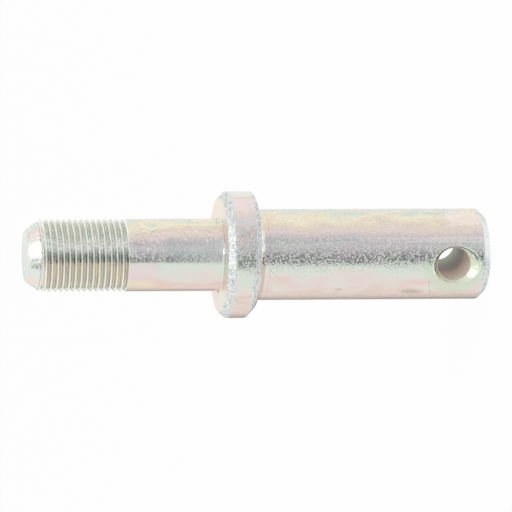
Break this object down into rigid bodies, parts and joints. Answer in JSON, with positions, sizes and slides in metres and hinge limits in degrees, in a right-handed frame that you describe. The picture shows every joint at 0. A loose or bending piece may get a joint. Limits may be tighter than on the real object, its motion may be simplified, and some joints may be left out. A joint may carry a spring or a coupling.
{
  "type": "tiller pin",
  "caption": "Turned steel linkage pin with a threaded stud, a chamfered round collar and a larger plain pin cross drilled and countersunk near its end for a linch pin.",
  "frame": {"origin": "centre of the plain pin's flat end face, on which the part stands", "axes": "+Z along the pin's axis from the plain end to the threaded stud's end, Y along the cross hole"},
  "size_m": [0.039, 0.039, 0.143],
  "materials": {
    "zinc_plated_steel": "zinc plated with a pale iridescent passivate over fine turning marks"
  },
  "bodies": {
    "root": {"tiller_pin": "zinc_plated_steel"}
  },
  "joints": []
}
